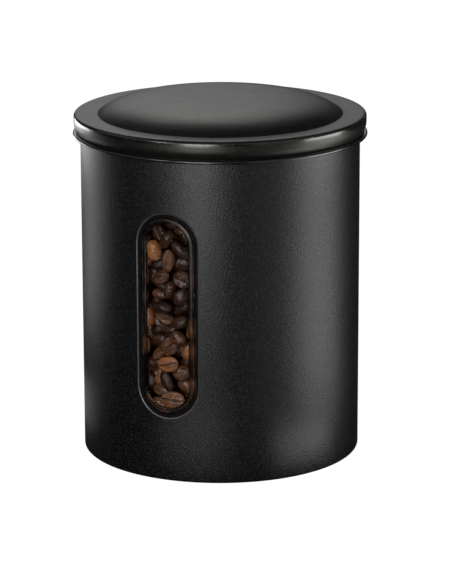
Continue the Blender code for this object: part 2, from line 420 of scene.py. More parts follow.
def roastedBean(name):
    # tone runs from 0, the darkest roast, to 1, the palest bean, and is stored on each bean
    finish = Finish(name)
    where = finish.places()
    tone = finish.stored("tone")
    crease = finish.stored("crease")
    mottle = finish.noise(where, roast["mottle"], 4.0, 0.62)
    dents = finish.noise(where, roast["dents"], 1.0)
    wrinkles = finish.noise(where, roast["wrinkles"], 2.0, 0.6)
    places = (0.0, 0.38, 0.6, 0.76, 1.0)
    shades = ("dark", "middle", "brown", "orange", "tan")
    stops = [(place, roast[shade]) for place, shade in zip(places, shades)]
    patches = (mottle - 0.52) * roast["patches"]
    shade = finish.add("ValToRGB", {"stops": stops}, {"Fac": tone + patches})
    shade = finish.blend(wrinkles.between(0.5, 0.66) * roast["wrinkleShade"], shade, roast["dark"])
    flakes = mottle.between(0.42, 0.6) * crease.between(0.4, 0.85)
    # the crease is darkened, a painted shade
    shade = finish.blend(crease.between(0.04, 0.5) * roast["creaseShade"], shade, roast["crease"])
    shade = finish.blend(flakes * roast["chaffShade"], shade, roast["chaff"])
    dentShare, mottleShare, wrinkleShare = roast["bumpShares"]
    relief = dents * dentShare + mottle * mottleShare + wrinkles * wrinkleShare
    values = {
        "Base Color": shade,
        "Roughness": roast["roughness"] + mottle * roast["uneven"] + crease * roast["creaseDull"],
        "Specular IOR Level": 1.0,
        "Normal": finish.bump(relief, roast["bumpHeight"]),
    }
    return finish.painted(values)


# the body's coat carries a painted highlight on the slot's lip
blackCoat = powderCoat("blackCoat", paintedHighlight=coat["lipHighlightShare"])
lidCoat = powderCoat("lidCoat", coat["lidGrain"], tint=coat["lidTint"])
print("finishes ready")


# Body: a tube of sheet steel with its foot turned in, its mouth curled in and its slot cut

shellLow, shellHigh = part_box("body_shell")
paneLow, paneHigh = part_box("window_pane")
body = {
    "radius": shellHigh.x,
    "top": shellHigh.z,
    "sheet": 0.5 * mm,
    "cutEdge": 0.16 * mm,
    "footBend": 1.2 * mm,
    "footSteps": 8,
    "footInner": 58.8 * mm,
    "curl": 1.0 * mm,
    "curlSteps": 18,
    "wallSteps": 4,  # above the slot's patch, and as many below it
    "columns": 190,
    "seamWidth": 3.4 * mm,
    "seamHeight": 0.18 * mm,
    "seamSlope": 0.8 * mm,
    "seamColumns": (-0.5, -0.2, 0.1, 0.4, 0.8),  # millimetres out from each edge of the seam
    "seamClear": 1.2 * mm,
}
slot = {
    "width": 28.4 * mm,
    "flange": 5.3 * mm,  # the pane reaches this far behind the sheet
    "cornerSteps": 8,
    "topSteps": 24,
    "sideSteps": 10,
    "patchMargin": 4 * mm,
    "lip": 0.8 * mm,  # the sheet's edge is rolled in round the slot by this radius
    "lipTurn": 82,  # degrees
    "lipSteps": 8,
    "glossRise": 6,  # how fast the lip turns glossy and takes its painted highlight, and how fast that fades
    "glossFall": 1.3,
    "rings": (0.6, 0.25, 0.06, 0.0),  # shares of the way from the lip to the patch's border
}
slot["low"] = paneLow.z + slot["flange"]
slot["high"] = paneHigh.z - slot["flange"]


def slotOutline(inset, corner, top, side):
    # (along, height) round the slot, clockwise from the top left of its upper arc
    half = slot["width"] / 2 - inset
    high = slot["high"] - slot["width"] / 2
    low = slot["low"] + slot["width"] / 2
    points = arc(0, high, half, 135, 45, top)
    points += arc(0, high, half, 45, 0, corner)[1:]
    points += [(half, high + (low - high) * i / side) for i in range(1, side)]
    points += arc(0, low, half, 0, -45, corner)
    points += arc(0, low, half, -45, -135, top)[1:]
    points += arc(0, low, half, -135, -180, corner)[1:]
    points += [(-half, low + (high - low) * i / side) for i in range(1, side)]
    points += arc(0, high, half, 180, 135, corner)[:-1]
    return points


def bodyRows():
    # the sheet's outer side from the curl's inner end to the foot's, and which rows the patch spans
    radius = body["radius"]
    curl = body["curl"]
    bend = body["footBend"]
    margin = slot["patchMargin"]
    ends = slot["width"] / 2
    curlHeight = body["top"] - curl
    rows = arc(radius - curl, curlHeight, curl, 270, 0, body["curlSteps"])
    patchTop = slot["high"] + margin
    steps = body["wallSteps"]
    rows += [(radius, curlHeight + (patchTop - curlHeight) * i / steps) for i in range(1, steps)]
    first = len(rows)
    stops = (patchTop, slot["high"] - ends, slot["low"] + ends, slot["low"] - margin)
    counts = (slot["cornerSteps"], slot["sideSteps"], slot["cornerSteps"])
    for start, end, count in zip(stops, stops[1:], counts):
        rows += [(radius, start + (end - start) * i / count) for i in range(count)]
    last = len(rows)
    rows.append((radius, stops[-1]))
    rows += [(radius, stops[-1] + (bend - stops[-1]) * i / steps) for i in range(1, steps)]
    rows += arc(radius - bend, bend, bend, 0, -90, body["footSteps"])
    rows += [(body["footInner"] + 1.2 * mm, 0), (body["footInner"], 0)]
    return rows, first, last


def bodyColumns():
    # places round the body: across the patch first, then the rest, closer together at the back seam
    half = slot["width"] / 2 + slot["patchMargin"]
    around = math.tau * body["radius"]
    columns = [-half + 2 * half * i / slot["topSteps"] for i in range(slot["topSteps"] + 1)]
    count = body["columns"]
    rest = [half + (around - 2 * half) * i / count for i in range(1, count)]
    seam = body["seamWidth"] / 2
    rest = [place for place in rest if abs(place - around / 2) > seam + body["seamClear"]]
    for side in (-1, 1):
        rest += [around / 2 + side * (seam + out * mm) for out in body["seamColumns"]]
    return columns + sorted(rest)


def makeBodySheet():
    rows, first, last = bodyRows()
    columns = bodyColumns()
    patchColumns = slot["topSteps"]
    around = math.tau * body["radius"]
    seam = body["seamWidth"] / 2
    points = []
    edges = []
    index = {}
    for i, (radius, height) in enumerate(rows):
        for j, along in enumerate(columns):
            if first < i < last and 0 < j < patchColumns:
                continue
            index[i, j] = len(points)
            past = abs(along - around / 2) - seam
            rise = body["seamHeight"] * min(1, max(0, 0.5 - past / body["seamSlope"]))
            if radius < body["radius"] - 0.1 * mm:  # the seam fades at the curl and the foot
                rise = 0
            points.append(onCylinder(along, height, radius + rise))
            edges.append(0.0)
    faces = []
    for i in range(len(rows) - 1):
        for j in range(len(columns)):
            k = (j + 1) % len(columns)
            if first <= i < last and j < patchColumns:
                continue
            faces.append((index[i, j], index[i + 1, j], index[i + 1, k], index[i, k]))
    border = [(first, j) for j in range(patchColumns)]
    border += [(i, patchColumns) for i in range(first, last)]
    border += [(last, j) for j in range(patchColumns, 0, -1)]
    border += [(i, 0) for i in range(last, first, -1)]
    outer = [index[place] for place in border]
    counts = (slot["cornerSteps"], slot["topSteps"], slot["sideSteps"])
    lip = slot["lip"]
    flat = [(columns[j], rows[i][1]) for i, j in border]
    loops = [(share, -lip, 0) for share in slot["rings"]]
    for step in range(1, slot["lipSteps"] + 1):
        angle = math.radians(slot["lipTurn"]) * step / slot["lipSteps"]
        loops.append((0, -lip * (1 - math.sin(angle)), lip * (1 - math.cos(angle))))
    for share, inset, depth in loops:
        ring = list(range(len(points), len(points) + len(outer)))
        for (outAlong, outHeight), (along, height) in zip(flat, slotOutline(inset, *counts)):
            mixed = along + (outAlong - along) * share
            tall = height + (outHeight - height) * share
            points.append(onCylinder(mixed, tall, body["radius"] - depth))
            # the lip's share, for its gloss and for its painted highlight
            fade = max(0, 1 - slot["glossFall"] * depth / lip)
            edges.append(min(1, slot["glossRise"] * depth / lip) * fade)
        for i in range(len(outer)):
            k = (i + 1) % len(outer)
            faces.append((outer[i], ring[i], ring[k], outer[k]))
        outer = ring
    mesh = newMesh("bodySheet", points, faces)
    storeShares(mesh, "edge", edges)
    piece = addPiece("bodySheet", mesh, blackCoat, "canister", "body_shell")
    thicken(piece, body["sheet"], body["cutEdge"])


makeBodySheet()
print("body made")


# Base plate, pressed up inside the foot

plateLow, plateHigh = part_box("base_plate")
plate = {
    "radius": plateHigh.x,
    "rim": plateLow.z,
    "panel": plateHigh.z - body["sheet"],
    "flat": 2 * mm,  # the rim lies on the foot up to this far from the wall
    "wall": 56.4 * mm,
    "corner": 0.9 * mm,
    "cornerOut": 1.4 * mm,  # from the wall to the middle of its lower corner
    "cutEdge": 0.1 * mm,
    "ring": 40 * mm,
    "ringDepth": 0.6 * mm,
    "ringSteps": 8,
    "ringStep": 0.28 * mm,
}


def makeBasePlate():
    rim = plate["rim"]
    panel = plate["panel"]
    wall = plate["wall"]
    corner = plate["corner"]
    steps = plate["ringSteps"]
    outline = [(plate["radius"], rim), (wall + plate["flat"], rim)]
    outline += arc(wall + plate["cornerOut"], rim + corner, corner, -90, -160, 5)
    outline += arc(wall - corner, panel - corner, corner, 20, 90, 5)
    for i in range(-steps, steps + 1):
        dip = plate["ringDepth"] * 0.5 * (1 + math.cos(math.pi * i / steps))
        outline.append((plate["ring"] - i * plate["ringStep"], panel - dip))
    outline += [(plate["ring"] * share, panel) for share in (0.7, 0.35, 0)]
    mesh = turnedMesh("basePlate", outline)
    piece = addPiece("basePlate", mesh, blackCoat, "canister", "base_plate")
    thicken(piece, body["sheet"], plate["cutEdge"])


makeBasePlate()
print("base made")


# Window: a clear moulding whose rim fills the slot, and foam tape behind the sheet

pane = {
    "inner": 59.6 * mm,
    "flange": 1.2 * mm,
    "face": 62.2 * mm,
    "panelDrop": 0.7 * mm,
    "beadStart": 1.7 * mm,  # measured in from the slot's edge
    "beadEnd": 4.2 * mm,
    "beadSteps": 18,
    "beadFullness": 0.8,  # 1 is round, and less is fuller
    "beadFoot": 0.35 * mm,
    "edgeRound": 0.1 * mm,
    "glossStart": 7,  # the loop at which the bead's glossy crown begins
    "cornerSteps": 10,
    "topSteps": 20,
    "sideSteps": 1,
}


def paneLoops():
    # (inset, radius) from the middle panel's face, over the bead, round the flange to the back
    panel = pane["face"] - pane["panelDrop"]
    back = pane["inner"] + pane["flange"]
    middle = (pane["beadStart"] + pane["beadEnd"]) / 2
    half = (pane["beadEnd"] - pane["beadStart"]) / 2
    soft = pane["edgeRound"]
    loops = [(pane["beadEnd"] + reach * mm, panel) for reach in (1.8, 0.3, 0.12)]
    for step in range(pane["beadSteps"] + 1):
        angle = math.pi * step / pane["beadSteps"]
        foot = panel if step <= pane["beadSteps"] / 2 else back + pane["beadFoot"]
        crown = math.sin(angle) ** pane["beadFullness"]
        loops.append((middle + half * math.cos(angle), foot + (pane["face"] - foot) * crown))
    loops += [(pane["beadStart"], back + soft), (pane["beadStart"] - soft, back)]
    wide = slot["flange"]
    loops += [(soft - wide, back), (-wide, back - soft), (-wide, pane["inner"] + soft)]
    loops += [(soft - wide, pane["inner"]), (0, pane["inner"])]
    return loops


def makePane():
    corner, top, side = pane["cornerSteps"], pane["topSteps"], pane["sideSteps"]
    loops = paneLoops()
    points = []
    rings = []
    for inset, radius in loops:
        outline = slotOutline(inset, corner, top, side)
        rings.append(list(range(len(points), len(points) + len(outline))))
        points += [onCylinder(along, height, radius) for along, height in outline]
    count = len(rings[0])
    faces = []
    for first, second in zip(rings, rings[1:]):
        for i in range(count):
            k = (i + 1) % count
            faces.append((first[i], first[k], second[k], second[i]))
    half = count // 2
    for ring, flip in ((rings[0], False), (rings[-1], True)):
        # strips between the upper arc and the lower one, upright, so that each lies on the cylinder
        upper = [ring[i % count] for i in range(-corner, top + corner + 1)]
        lower = [ring[half + i] for i in range(top + corner, -corner - 1, -1)]
        for i in range(len(upper) - 1):
            strip = (upper[i], lower[i], lower[i + 1], upper[i + 1])
            faces.append(strip[::-1] if flip else strip)
    mesh = newMesh("windowPane", points, faces)
    shares = {"rim": [inset < pane["beadEnd"] for inset, radius in loops]}
    shares["edge"] = [pane["glossStart"] <= i < pane["beadSteps"] for i in range(len(loops))]
    for name, share in shares.items():
        storeShares(mesh, name, np.repeat(share, count))
    finish = clearPlastic("clearPlastic")
    addPiece("windowPane", mesh, finish, "canister", "window_pane")


makePane()
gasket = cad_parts["window_gasket"].data  # the CAD part's own shape, in foam
gasket.materials.clear()
gasket.materials.append(foamTape("foamTape"))
print("window made")


# Lid: one pressed skin from the middle of the dome to the bead rolled at its hem

lidLow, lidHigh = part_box("lid_shell")
lid = {
    "bead": lidHigh.x,
    "top": lidHigh.z,
    "rise": 6.7 * mm,  # the dome's middle above the flat ring
    "crown": 0.3 * mm,
    "fullness": 6.1,  # how long the dome stays nearly flat before it falls to its crease
    "domeSteps": 34,
    "sheet": 0.5 * mm,
    "cutEdge": 0.1 * mm,
    "crease": 54.8 * mm,
    "creaseRound": 0.3 * mm,
    "dip": 0.5 * mm,  # how far the flat ring sinks towards the crease
    "edgeBend": 1.4 * mm,
    "bendSteps": 10,
    "bendHold": 1.5 * mm,  # points this far from the bend keep the flats beside it flat
    "mattTop": 0.7,  # the bend's top is as matt as the ring,
    "glossSteps": 3,  # and it turns glossy over this many steps
    "skirtDrop": 4.8 * mm,  # below the ring, as the neck's
    "neckDrop": 8.3 * mm,
    "neckDepth": 1.6 * mm,
    "neckCurve": 1.2,
    "neckSteps": 8,
    "beadProud": 0.45 * mm,
    "beadRound": 0.8 * mm,
    "beadSteps": 28,
    "turns": 256,
}
lid["ring"] = lid["top"] - lid["rise"]
lid["skirt"] = lid["bead"] - lid["beadProud"]


def domeHeight(radius):
    share = radius / lid["crease"]
    fall = lid["rise"] + lid["dip"] - lid["crown"]
    low = lid["ring"] - lid["dip"]
    return low + fall * (1 - share ** lid["fullness"]) + lid["crown"] * (1 - share**2)


def domeOutline():
    # points lie closer together towards the crease, where a small arc turns into the flat ring
    soft = lid["creaseRound"]
    steps = lid["domeSteps"]
    points = []
    for i in range(steps):
        radius = (lid["crease"] - soft) * math.sin(math.pi / 2 * i / steps)
        points.append((radius, domeHeight(radius)))
    edge = lid["crease"] - soft * 0.5
    points.append((edge, domeHeight(edge) + soft * 0.06))
    points.append((lid["crease"] + soft * 0.15, domeHeight(lid["crease"]) + soft * 0.12))
    points.append((lid["crease"] + soft, lid["ring"] - lid["dip"] * 0.96))
    return points


def makeLidSheet():
    bend = lid["edgeBend"]
    hold = lid["bendHold"]
    steps = lid["bendSteps"]
    turns = lid["turns"]
    neckHeight = lid["ring"] - lid["neckDrop"]
    beadMiddle = lid["bead"] - lid["beadRound"]
    skirtLow = lid["ring"] - lid["skirtDrop"]
    outline = domeOutline()
    outline.append((lid["crease"] + 3.5 * mm, lid["ring"] - lid["dip"] * 0.6))
    outline.append((lid["skirt"] - bend - hold, lid["ring"] - 0.03 * mm))
    bends = [0.0] * len(outline)
    outline += arc(lid["skirt"] - bend, lid["ring"] - bend, bend, 90, 0, steps)
    bends += [min(1.0, max(0.0, i / lid["glossSteps"] - lid["mattTop"])) for i in range(steps + 1)]
    outline += [(lid["skirt"], lid["ring"] - bend - hold), (lid["skirt"], skirtLow + 0.8 * mm)]
    for i in range(1, lid["neckSteps"] + 1):
        share = i / lid["neckSteps"]
        across = lid["skirt"] - lid["neckDepth"] * share ** lid["neckCurve"]
        outline.append((across, skirtLow + (neckHeight - skirtLow) * share))
    bends += [0.0] * (len(outline) - len(bends))
    bead = lid["beadRound"]
    outline += arc(beadMiddle, neckHeight - bead, bead, 100, -220, lid["beadSteps"])[2:]
    bends += [1.0] * (len(outline) - len(bends))
    mesh = turnedMesh("lidSheet", outline, turns=turns)
    storeShares(mesh, "edge", bends[:1] + list(np.repeat(bends[1:], turns)))
    piece = addPiece("lidSheet", mesh, lidCoat, "lid", "lid_shell")
    thicken(piece, lid["sheet"], lid["cutEdge"])


# Lid's inside: a moulded ring with a flange over the mouth and a plug wall, and a seal in its groove

linerLow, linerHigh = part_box("lid_liner")
sealLow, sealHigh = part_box("lid_seal")
liner = {
    "outer": 63.0 * mm,
    "flange": 1.2 * mm,
    "plugOuter": 59.4 * mm,
    "plugInner": 57.2 * mm,
    "lead": 0.6 * mm,  # the plug's sloped lower corner
    "groove": 0.8 * mm,
    "grooveGap": 0.3 * mm,
    "cutEdge": 0.15 * mm,
    "turns": 192,
}
seal = {
    "band": 0.6 * mm,
    "topLip": 0.3 * mm,  # below the seal's top
    "lowLip": 1.2 * mm,  # above its foot
    "lipRound": 0.1 * mm,
    "lipTip": 0.25 * mm,
    "lipFoot": 0.75 * mm,
    "cutEdge": 0.05 * mm,
    "turns": 192,
}


def makeLiner():
    low, high = linerLow.z, linerHigh.z
    outer, wall, inner = liner["outer"], liner["plugOuter"], liner["plugInner"]
    flange = liner["flange"]
    lead = liner["lead"]
    gap = liner["grooveGap"]
    floor = wall - liner["groove"]
    outline = [(outer, high), (outer, high - flange), (wall, high - flange)]
    outline += [(wall, sealHigh.z + gap), (floor, sealHigh.z + gap)]
    outline += [(floor, sealLow.z - gap), (wall, sealLow.z - gap)]
    outline += [(wall, low + lead), (wall - lead, low), (inner, low), (inner, high)]
    mesh = turnedMesh("lidLiner", outline, closed=True, turns=liner["turns"])
    finish = mouldedPlastic("mouldedPlastic")
    piece = addPiece("lidLiner", mesh, finish, "lid", "lid_liner")
    roundEdges(piece, liner["cutEdge"], 2, 35)


def makeSeal():
    inner = liner["plugOuter"] - liner["groove"] + liner["grooveGap"]
    band = inner + seal["band"]
    lip = sealHigh.x
    soft = seal["lipRound"]
    outline = [(inner, sealHigh.z), (band, sealHigh.z)]
    for height in (sealHigh.z - seal["topLip"], sealLow.z + seal["lowLip"]):
        outline += [(lip - soft, height), (lip, height - soft)]
        outline += [(lip - soft, height - seal["lipTip"]), (band, height - seal["lipFoot"])]
    outline += [(band, sealLow.z), (inner, sealLow.z)]
    mesh = turnedMesh("lidSeal", outline, closed=True, turns=seal["turns"])
    finish = siliconeRubber("siliconeRubber")
    piece = addPiece("lidSeal", mesh, finish, "lid", "lid_seal")
    roundEdges(piece, seal["cutEdge"], 2, 35)


makeLidSheet()
makeLiner()
makeSeal()
print("lid made")


# Beans. Those against the glass are laid one by one from a list; the rest is packed behind and on
# top by rule

bean = {
    "length": 10.2 * mm,
    "width": 7.4 * mm,
    "thickness": 4.7 * mm,
    "gap": 3.8 * mm,  # the least between the small spheres of two beans
    "step": 0.3,  # millimetres that a bean moves at a time
    "glass": 59.3 * mm,
    "glassGap": 3.1 * mm,
    "glassTravel": 4 * mm,
    "wall": 61.4 * mm,
    "core": 45 * mm,
    "coreTop": 104 * mm,
    "coreRound": 6 * mm,
    "seed": 7,
}

# at both sides of the window, in millimetres
sideBeans = {
    "count": 11,
    "along": 14.4,
    "lowest": 34,
    "apart": 8.0,
    "length": 9.0,
    "width": 6.4,
    "sink": 0.6,
}
backBeans = {
    "tries": 420,
    "spread": 27,  # this and the next two in millimetres
    "low": 14,
    "high": 118,
    "travel": 9 * mm,
    "tones": (0.05, 0.1, 0.1, 0.15, 0.25, 0.4),
}
topBeans = {
    "tries": 620,
    "margin": 5 * mm,
    "bedTop": 119 * mm,
    "bedDepth": 12 * mm,
    "travel": 10.5 * mm,
    "flatness": 0.35,
    "tones": (0.05, 0.1, 0.15, 0.2, 0.3, 0.45, 0.65),
}

# along the glass from its middle, height, length and width in millimetres, then the tilt of the
# long axis, the turn about it (0 shows the round back, 180 the crease), the tone and the sink
windowBeans = (
    (-8.4, 102.6, 9.2, 6.6, 105, 20, 0.87, 0.0),
    (-1.5, 98.6, 10.3, 7.4, 80, 148, 0.54, 0.1),
    (-1.8, 108.2, 9.2, 5.2, 57, 40, 0.14, 0.0),
    (-7.2, 110.4, 8.6, 6.8, 113, 165, 0.24, 0.3),
    (4.8, 103.8, 10.6, 5.8, -45, 30, 0.12, 0.2),
    (4.4, 96.8, 9.6, 7.4, 5, 20, 0.18, 0.2),
    (-4.8, 91.0, 7.8, 7.0, 12, 140, 0.42, 0.1),
    (-1.8, 85.1, 8.6, 6.0, 86, 40, 0.30, 0.2),
    (5.0, 82.5, 8.6, 7.0, 60, 30, 0.16, 0.1),
    (-4.2, 77.5, 9.6, 5.6, 0, 25, 0.06, 0.1),
    (-11.7, 71.9, 8.8, 5.6, 97, 112, 0.70, 0.3),
    (-7.8, 70.9, 9.2, 6.0, -57, 145, 0.40, 0.2),
    (-3.5, 72.5, 8.6, 5.6, -22, 125, 0.52, 0.4),
    (4.6, 71.5, 8.4, 5.6, 17, 20, 0.14, 0.1),
    (3.4, 63.9, 8.4, 6.6, -35, 25, 0.44, 0.2),
    (-2.2, 59.2, 9.4, 7.7, 45, 180, 0.52, 0.0),
    (-1.0, 52.3, 9.4, 7.0, 6, 178, 0.76, 0.0),
    (-8.4, 55.6, 9.2, 6.0, 38, 135, 0.60, 0.2),
    (6.9, 57.4, 8.8, 5.8, 86, 30, 0.72, 0.3),
    (-2.1, 44.2, 10.2, 6.4, -66, 40, 0.12, 0.1),
    (-8.0, 44.3, 8.2, 4.8, 86, 80, 0.68, 0.5),
    (4.6, 47.9, 8.6, 7.2, 12, 15, 0.50, 0.1),
    (5.5, 42.1, 8.4, 6.8, -38, 15, 0.60, 0.4),
    (-6.7, 38.0, 10.0, 6.2, -4, 30, 0.54, 0.3),
    (1.1, 36.2, 11.2, 7.5, 4, 180, 0.62, 0.0),
    (4.7, 113.2, 8.4, 6.6, 25, 150, 0.34, 1.0),
    (-0.9, 114.2, 8.8, 7.0, -10, 20, 0.36, 1.2),
    (6.3, 108.5, 8.2, 6.6, -42, 30, 0.10, 0.7),
    (-7.8, 95.8, 8.2, 5.8, 25, 20, 0.14, 0.8),
    (5.2, 90.2, 9.0, 7.2, -28, 158, 0.32, 0.5),
    (-7.6, 86.7, 9.2, 5.6, -48, 60, 0.18, 0.6),
    (-8.3, 81.9, 8.0, 5.2, -3, 30, 0.54, 0.9),
    (-10.8, 77.6, 7.8, 5.6, 60, 20, 0.10, 1.4),
    (4.4, 76.8, 10.6, 6.0, 33, 30, 0.12, 0.6),
    (8.3, 67.7, 8.6, 5.8, 80, 120, 0.68, 0.5),
    (-9.5, 66.1, 8.0, 5.8, 25, 20, 0.16, 0.9),
    (-2.4, 67.7, 8.0, 5.6, 20, 150, 0.26, 1.1),
    (-8.8, 61.1, 8.4, 6.6, 8, 30, 0.28, 1.0),
    (-8.8, 50.1, 8.4, 6.6, -35, 30, 0.42, 1.0),
    (6.3, 52.5, 8.2, 6.0, 70, 30, 0.22, 1.4),
    (-10.9, 45.2, 7.8, 5.6, -50, 25, 0.16, 1.4),
    (-5.3, 33.0, 9.6, 5.2, -26, 120, 0.64, 0.9),
    (2.5, 31.2, 9.6, 5.6, 5, 120, 0.56, 1.0),
    (7.8, 41.7, 8.6, 5.4, 88, 60, 0.66, 0.8),
    (0.8, 89.9, 8.0, 5.6, 70, 30, 0.06, 1.8),
    (-2.4, 64.0, 8.0, 5.6, 10, 30, 0.08, 2.2),
    (-5.1, 48.2, 8.0, 5.6, 30, 30, 0.08, 2.2),
    (2.7, 57.5, 8.0, 5.4, 60, 30, 0.20, 1.8),
    (-12.7, 61.5, 8.4, 5.6, 80, 30, 0.20, 1.6),
    (-12.3, 90.2, 8.6, 5.6, 80, 30, 0.22, 1.6),
)


# shares of half a bean's length, width or thickness
beanForm = {
    "fullness": 2.3,  # higher keeps the bean wide towards its ends
    "crowding": 1.5,  # above 1 draws the points together at the crease
    "lumps": 0.05,
    "backDepth": 1.25,
    "flatDepth": 0.62,
    "flatCorner": 0.45,  # lower makes the flat side flatter
    "grooveDepth": 0.36,
    "grooveWidth": 0.07,
    "grooveEnd": 0.96,
    "grooveFade": 0.12,
    "lipHeight": 0.08,
    "lipWidth": 0.15,
    "lipOut": 0.24,
}


def beanShape(rings, around, sway):
    # a unit bean along X, its round back up and its creased flat side down; also its crease's mask
    step = np.linspace(0, 1, rings + 1)[1:-1]
    along = -np.cos(np.pi * step)[:, None]
    girth = (1 - np.abs(along) ** beanForm["fullness"]) ** 0.5
    share = np.linspace(-1, 1, around, endpoint=False)
    angle = np.sign(share) * np.abs(share) ** beanForm["crowding"] * np.pi
    lumps = np.sin(2.6 * along + 31 * sway) * np.cos(2 * angle + 17 * sway)[None, :]
    girth = girth * (1 + beanForm["lumps"] * lumps)
    across = girth * np.sin(angle)[None, :]
    lean = np.cos(angle)[None, :]
    flat = lean > 0
    under = -beanForm["flatDepth"] * np.abs(lean) ** beanForm["flatCorner"]
    depth = np.where(flat, under, beanForm["backDepth"] * np.abs(lean)) * girth
    centre = sway * np.sin(math.tau * step)[:, None]
    off = across - centre
    reach = np.clip((beanForm["grooveEnd"] - np.abs(along)) / beanForm["grooveFade"], 0, 1) * flat
    groove = np.exp(-((off / beanForm["grooveWidth"]) ** 2)) * reach
    lips = np.exp(-(((np.abs(off) - beanForm["lipOut"]) / beanForm["lipWidth"]) ** 2)) * reach
    depth = depth + beanForm["grooveDepth"] * groove - beanForm["lipHeight"] * lips
    along = np.broadcast_to(along, across.shape)
    points = np.stack([along, across, depth], axis=2).reshape(-1, 3)
    points = np.vstack([[(-1, 0, 0)], points, [(1, 0, 0)]])
    crease = np.concatenate([[0], groove.reshape(-1), [0]])
    faces = []
    last = len(points) - 1
    for j in range(around):
        k = (j + 1) % around
        faces.append((0, 1 + k, 1 + j, 1 + j))
        faces.append((last, last - around + j, last - around + k, last - around + k))
        for i in range(rings - 2):
            low = 1 + i * around
            high = low + around
            faces.append((low + j, low + k, high + k, high + j))
    return points, crease, faces


def beanSpheres():
    # small spheres that fill a unit bean, to keep beans out of each other
    places = [(along, across, 0.15) for along in (-0.62, 0, 0.62) for across in (-0.42, 0, 0.42)]
    return np.array(places)


def rotationOf(axis, back):
    # the rotation that lays a bean's long axis along axis and its round back towards back
    side = back.cross(axis).normalized()
    return np.array(Matrix((axis, side, axis.cross(side))).transposed())


def sizeOf(length, width, thickness):
    return np.array([length / 2, width / 2, thickness / 2])


class Pile:
    # beans laid so far: what to draw, and the spheres that later beans keep clear of
    def __init__(self):
        self.beans = []
        self.spheres = np.zeros((0, 3))

    def lay(self, group, turn, size, place, way, travel, tone, sway, gap=bean["gap"], always=False):
        # moves the bean along way from place until it is clear of the others, or leaves it out
        spheres = (beanSpheres() * size) @ turn.T
        middle = place + way * travel / 2
        reach = travel / 2 + 10 * mm
        near = self.spheres[np.sum((self.spheres - middle) ** 2, axis=1) < reach**2]
        steps = int(travel / (bean["step"] * mm))
        for step in range(steps + 1):
            here = place + way * step * bean["step"] * mm
            apart = near[None, :, :] - (spheres + here)[:, None, :]
            free = (np.sum(apart**2, axis=2) > gap**2).all()
            if free or (always and step == steps):
                self.spheres = np.vstack([self.spheres, spheres + here])
                self.beans.append((group, turn, size, here, tone, sway))
                return


def sideRows(rng):
    # rows like windowBeans', for both sides of the window, which its bead bends into view
    rows = []
    length, width, sink = sideBeans["length"], sideBeans["width"], sideBeans["sink"]
    for side in (-1, 1):
        for i in range(sideBeans["count"]):
            along = side * (sideBeans["along"] + rng.uniform(-0.5, 0.9))
            height = sideBeans["lowest"] + sideBeans["apart"] * i + rng.uniform(-1.2, 1.2)
            tilt = 90 + rng.uniform(-40, 40)
            turn = rng.choice((20, 60, 150))
            tone = rng.uniform(0.2, 0.7)
            rows.append((along, height, length, width, tilt, turn, tone, sink))
    return rows


def layWindowBeans(pile, rng):
    rows = list(windowBeans) + sideRows(rng)
    for i, (along, height, length, width, tilt, turn, tone, sink) in enumerate(rows):
        outward = Vector(onCylinder(along * mm * body["radius"] / bean["glass"], 0, 1))
        sideways = Vector((-outward.y, outward.x, 0))
        lean = math.radians(tilt)
        axis = sideways * math.cos(lean) + Vector((0, 0, math.sin(lean)))
        back = Quaternion(axis, math.radians(turn)) @ outward
        rotation = rotationOf(axis, back)
        size = sizeOf(length * mm, width * mm, bean["thickness"] * (0.94 + 0.06 * math.sin(i)))
        points, crease, faces = beanShape(10, 12, 0.0)
        way = np.array(outward)
        proud = ((points * size) @ rotation.T @ way).max()
        place = way * (bean["glass"] - proud - sink * mm) + np.array((0, 0, height * mm))
        sway = 0.17 * math.sin(2 * i + 1)
        travel, gap = bean["glassTravel"], bean["glassGap"]
        pile.lay("windowBeans", rotation, size, place, -way, travel, tone, sway, gap, True)


def layBackBeans(pile, rng):
    # behind those at the glass, and out past the window's sides
    spread = backBeans["spread"]
    for i in range(backBeans["tries"]):
        along = rng.uniform(-spread, spread) * mm
        outward = Vector(onCylinder(along, 0, 1))
        height = rng.uniform(backBeans["low"], backBeans["high"]) * mm
        axis, back = randomWay(rng)
        rotation = rotationOf(axis, back)
        size = sizeOf(*randomSize(rng))
        start = bean["glass"] - size[2] * 1.3 - rng.uniform(1.5, 4) * mm
        place = np.array(outward) * start + np.array((0, 0, height))
        tone = rng.choice(backBeans["tones"])
        way = -np.array(outward)
        pile.lay("backBeans", rotation, size, place, way, backBeans["travel"], tone, 0.08)


def layTopBeans(pile, rng):
    # the bed that shows when the lid is off, piled up from below its top
    up = np.array((0, 0, 1))
    start = topBeans["bedTop"] - topBeans["bedDepth"]
    for i in range(topBeans["tries"]):
        spread = (bean["wall"] - topBeans["margin"]) * math.sqrt(rng.random())
        turn = rng.uniform(0, math.tau)
        axis, back = randomWay(rng, topBeans["flatness"])
        rotation = rotationOf(axis, back)
        size = sizeOf(*randomSize(rng))
        place = np.array((spread * math.sin(turn), -spread * math.cos(turn), start))
        tone = rng.choice(topBeans["tones"])
        pile.lay("topBeans", rotation, size, place, up, topBeans["travel"], tone, 0.08)


def randomWay(rng, flatness=1.0):
    # a long axis and a direction for the round back; a low flatness lays beans nearly level
    turn = rng.uniform(0, math.tau)
    axis = Vector((math.cos(turn), math.sin(turn), flatness * rng.uniform(-0.9, 0.9))).normalized()
    back = Vector((rng.uniform(-1, 1), rng.uniform(-1, 1), rng.choice((-1, 1)) / max(flatness, 0.3)))
    back = (back - axis * back.dot(axis)).normalized()
    return axis, back


def randomSize(rng):
    scale = rng.uniform(0.9, 1.08)
    width = bean["width"] * scale * rng.uniform(0.93, 1.05)
    return bean["length"] * scale, width, bean["thickness"] * scale


